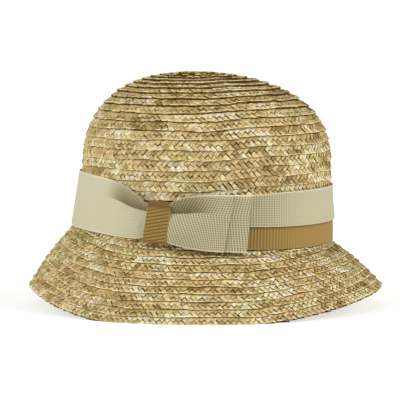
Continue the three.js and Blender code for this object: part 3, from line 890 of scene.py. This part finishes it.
sage_across = np.concatenate([np.linspace(0, 0.32, 11), np.linspace(0.42, 0.9, 6), [0.96, 1.0]])
azimuth = places_along(band.start + 2, band.end - 2, 0.5)
high = smooth_rows(sage_rows, azimuth)
turns = np.broadcast_to(azimuth[:, None], (len(azimuth), len(sage_across)))
height = band.sage_low + (high - band.sage_low) * sage_across
over_caramel = 1 - ease((height - 18) / 17)
stand_off = 1.3 + 1.3 * over_caramel
fading = 0.90 - 0.72 * ease((turns + 72) / 34)
sage_tint = ribbon_tint(SAGE_BAND_SHADED, SAGE_EDGE, leaf_share(height), fading)
sage_band = ribbon_piece("sage_ribbon_band", "sage_band", sage_grosgrain,
                         ribs.sage, beside_wall(turns, height, stand_off),
                         beside_wall(turns, height, stand_off - CLOTH), sage_tint)

# %% [markdown]
# The bow's loops lie flat against the band, one on the other. Each is one ribbon that runs from the
# knot to a round fold and back under itself.

# %% The bow's loops
upper_rows = [
    # azimuth, low, crease, high, and stand-offs at: low, belly, crease, brow, high
    [-109.8, 3.4, 23.6, 28.6, 5.9, 5.9, 5.9, 5.9, 5.9],
    [-105.0, 3.2, 23.6, 29.2, 5.9, 6.2, 5.7, 5.7, 6.4],
    [-103.4, 2.2, 23.6, 31.4, 6.2, 7.6, 5.4, 6.0, 8.2],
    [-101.0, 1.3, 23.8, 34.4, 6.5, 8.6, 5.4, 6.2, 9.4],
    [-97.0, 0.0, 24.6, 37.0, 6.5, 8.6, 5.8, 6.6, 9.2],
    [-91.0, -1.0, 26.2, 39.0, 6.6, 8.0, 6.6, 7.0, 8.0],
    [-85.0, -1.4, 26.5, 40.0, 6.8, 7.3, 6.9, 7.0, 7.1],
    [-79.2, -1.5, 26.5, 40.4, 6.8, 6.8, 6.8, 6.8, 6.8]]
under_rows = [
    [-109.8, 3.6, 23.6, 28.4, 3.2, 3.2, 3.2, 3.2, 3.2],
    [-105.0, 3.4, 23.6, 28.8, 3.2, 3.2, 3.2, 3.2, 3.2],
    [-97.0, 0.6, 24.0, 36.2, 3.2, 3.2, 3.2, 3.2, 3.2],
    [-88.0, -0.8, 26.0, 39.2, 3.6, 3.6, 3.6, 3.6, 3.6],
    [-84.0, -1.2, 26.5, 40.0, 4.2, 4.2, 4.2, 4.2, 4.2],
    [-77.0, -1.5, 26.5, 40.4, 4.2, 4.2, 4.2, 4.2, 4.2],
    [-70.8, -1.6, 26.5, 40.5, 4.2, 4.2, 4.2, 4.2, 4.2]]


def loop_piece(name, node, rows, fold_turn, fold_lean, shading):
    """A front leaf, a half circle and a back leaf. On the half circle the azimuth grows by the sine
    of its angle and the stand-off follows its cosine. The fold leans: its foot lies back by
    fold_lean degrees. shading gives how dark each point is, from its azimuth and height."""
    azimuth = places_along(rows[0][0], rows[-1][0])
    height, stand_off = ribbon_leaf(rows, azimuth)
    front_leaf = stand_off + FACE - CLOTH / 2
    back_leaf = stand_off.min(1, keepdims=True) + 0 * stand_off - 0.8
    radius = (front_leaf[-1:] - back_leaf[-1:]) / 2
    angle = np.radians(np.arange(15, 180, 15))[:, None]
    fold_middle = (front_leaf[-1:] + back_leaf[-1:]) / 2

    def face(side):
        """All three parts, half a cloth's thickness to one side of the ribbon's middle."""
        reach = radius + side * CLOTH / 2
        fold_azimuth = azimuth[-1] + fold_turn * np.sin(angle) * reach / radius
        turns = np.concatenate([azimuth[:, None] + 0 * height, fold_azimuth + 0 * reach,
                                azimuth[::-1, None] + 0 * height])
        heights = np.concatenate([height, height[-1:] + 0 * fold_azimuth, height[::-1]])
        offs = np.concatenate([front_leaf + side * CLOTH / 2, fold_middle + np.cos(angle) * reach,
                               back_leaf[::-1] - side * CLOTH / 2])
        outer_part = ease((turns - azimuth[0] - 12) / (azimuth[-1] - azimuth[0] - 12))
        return turns - fold_lean * outer_part * (40 - heights) / 40, heights, offs

    turns, heights, _ = face(1)
    lean = 0.48 * np.abs(heights - 25) * (1 - 0.6 * ease((turns + 92) / 14))
    tint = ribbon_tint(SAGE_BOW_SHADED, SAGE_EDGE, leaf_share(heights), 0.90 + 0 * turns)
    darken(tint, shading(turns, heights))
    return ribbon_piece(name, node, sage_grosgrain, ribs.sage,
                        beside_wall(*face(1)), beside_wall(*face(-1)), tint, skew=-lean)


def beside_upper_loop(turns, heights):
    """Where the upper loop's fold shades the one below it: widest at the foot."""
    fold = -79.0 - 2.6 * (40 - heights) / 40
    reach = 0.8 + 1.6 * (40 - heights) / 40
    return 0.55 * (1 - ease((turns - fold - 0.2) / reach))


def upper_pocket(turns, heights):
    """Painted shade in the hollow above the crease, which fades to the right and upwards."""
    above = (above_crease > 0) * (1 - 0.62 * ease(above_crease)) + 0 * heights
    return 0.69 * above * (1 - ease((turns + 97) / 15))


loop_under = loop_piece("loop_under", "bow_loop_under", under_rows, 0.6, 0.9, beside_upper_loop)
loop_upper = loop_piece("loop_upper", "bow_loop_upper", upper_rows, 0.8, 2.6, upper_pocket)

# %% [markdown]
# The knot is a strip of the caramel ribbon wound round the gathered sash, so its ribs lie across it.

# %% The knot
knot = SimpleNamespace(start=-114.3, end=-104.3, low=1.0, high=31.4, depth=8.2, corner=2.6, gap=0.3)


def knot_face(radius):
    """A rounded rectangle on edge: stand-off and height go round four corners of this radius, and
    the straight stretches between them are cut into short steps. The azimuth goes along."""
    centres = np.array([[knot.depth - knot.corner, knot.high - knot.corner],
                        [knot.gap + knot.corner, knot.high - knot.corner],
                        [knot.gap + knot.corner, knot.low + knot.corner],
                        [knot.depth - knot.corner, knot.low + knot.corner]])
    angle = np.radians(np.arange(4)[:, None] * 90 + np.linspace(0, 90, 7))
    ring = (centres[:, None] + radius * np.stack([np.cos(angle), np.sin(angle)], -1)).reshape(-1, 2)
    ring = np.concatenate([ring, ring[:1]])
    steps = np.concatenate([[0], np.cumsum(np.linalg.norm(np.diff(ring, axis=0), axis=1))])
    even = np.linspace(0, 1, 240)
    share = steps / steps[-1]
    return np.interp(even, share, ring[:, 0])[:, None], np.interp(even, share, ring[:, 1])[:, None]


def knot_points(radius, shares):
    """The knot's face or back, leaning a little to the right as it goes up."""
    stand_off, height = knot_face(radius)
    lean = 0.5 + 0.9 * (height - 16) / 30
    azimuth = knot.start + (knot.end - knot.start) * shares + lean
    return beside_wall(azimuth, height + 0 * azimuth, stand_off + 0 * azimuth)


knot_across = np.array([0, 0.04, 0.1, 0.25, 0.5, 0.75, 0.9, 0.96, 1.0])
knot_front = knot_points(knot.corner, knot_across)
knot_back = knot_points(knot.corner - CLOTH, knot_across)
knot_height = knot_face(knot.corner)[1] + 0 * knot_across
# painted shade: the knot grows darker towards its top, and its ribs fade there
near_top = ease((knot_height - 24.5) / 4)
knot_tint = ribbon_tint(CARAMEL, CARAMEL_EDGE, knot_across + 0 * knot_height,
                        0.82 - 0.68 * near_top)
knot_tint[..., :3] *= 1.08
darken(knot_tint, 0.62 * near_top)
knot_piece = ribbon_piece("knot", "bow_knot", caramel_grosgrain, ribs.caramel,
                          knot_front, knot_back, knot_tint,
                          skew=-5.0 * knot_across + 0 * knot_height)

# %% [markdown]
# The hat stands on a plain pale floor in soft light from broad lamps.

# %% Floor, lamps and camera
FLOOR_RADIUS = 30.0
bpy.ops.mesh.primitive_circle_add(vertices=96, radius=FLOOR_RADIUS, fill_type="NGON")
floor = bpy.context.object
floor.name = "floor"
paper, shader = new_material("pale_floor")
shader.inputs["Base Color"].default_value = (0.45, 0.45, 0.44, 1)
shader.inputs["Roughness"].default_value = 0.9
shader.inputs["Emission Color"].default_value = (1, 1, 1, 1)
shader.inputs["Emission Strength"].default_value = 0.60    # a light table, so its shadows stay pale
floor.data.materials.append(paper)


def sun(name, place, strength, softness):
    """A broad far lamp that shines from place towards the middle of the hat."""
    light = bpy.data.lights.new(name, "SUN")
    light.energy, light.angle = strength, math.radians(softness)
    item = bpy.data.objects.new(name, light)
    item.rotation_euler = (math.atan2(math.hypot(place[0], place[1]), place[2]), 0,
                           math.atan2(place[1], place[0]) + math.pi / 2)
    bpy.context.scene.collection.objects.link(item)
    return item


sun("left_lamp", (-1.0, -0.4, 0.6), 2.15, 40)
sun("right_lamp", (1.0, -0.35, 0.6), 2.6, 40)
sun("front_lamp", (-0.1, -0.7, 1.0), 0.75, 25)

world = bpy.data.worlds.new("white_studio")
world.use_nodes = True
nodes, links = world.node_tree.nodes, world.node_tree.links
nodes["Background"].inputs["Color"].default_value = (1, 1, 1, 1)
SKY, BACKDROP = 0.28, 1.0
seen = nodes.new("ShaderNodeLightPath")
strength = nodes.new("ShaderNodeMapRange")
strength.inputs["To Min"].default_value = SKY
strength.inputs["To Max"].default_value = BACKDROP
links.new(seen.outputs["Is Camera Ray"], strength.inputs["Value"])
links.new(strength.outputs[0], nodes["Background"].inputs["Strength"])
bpy.context.scene.world = world

camera_data = bpy.data.cameras.new("camera")
camera = bpy.data.objects.new("camera", camera_data)
bpy.context.scene.collection.objects.link(camera)
bpy.context.scene.camera = camera
camera.location = (0, -2.1, 0.261)
camera.rotation_euler = (math.atan2(2.1, 0.261 - 0.090), 0, 0)
camera_data.lens = 247.9
camera_data.shift_x = -5.5 / 400
camera_data.shift_y = -11.5 / 400
camera_data.clip_end = 100
bpy.context.scene.view_settings.view_transform = "Standard"
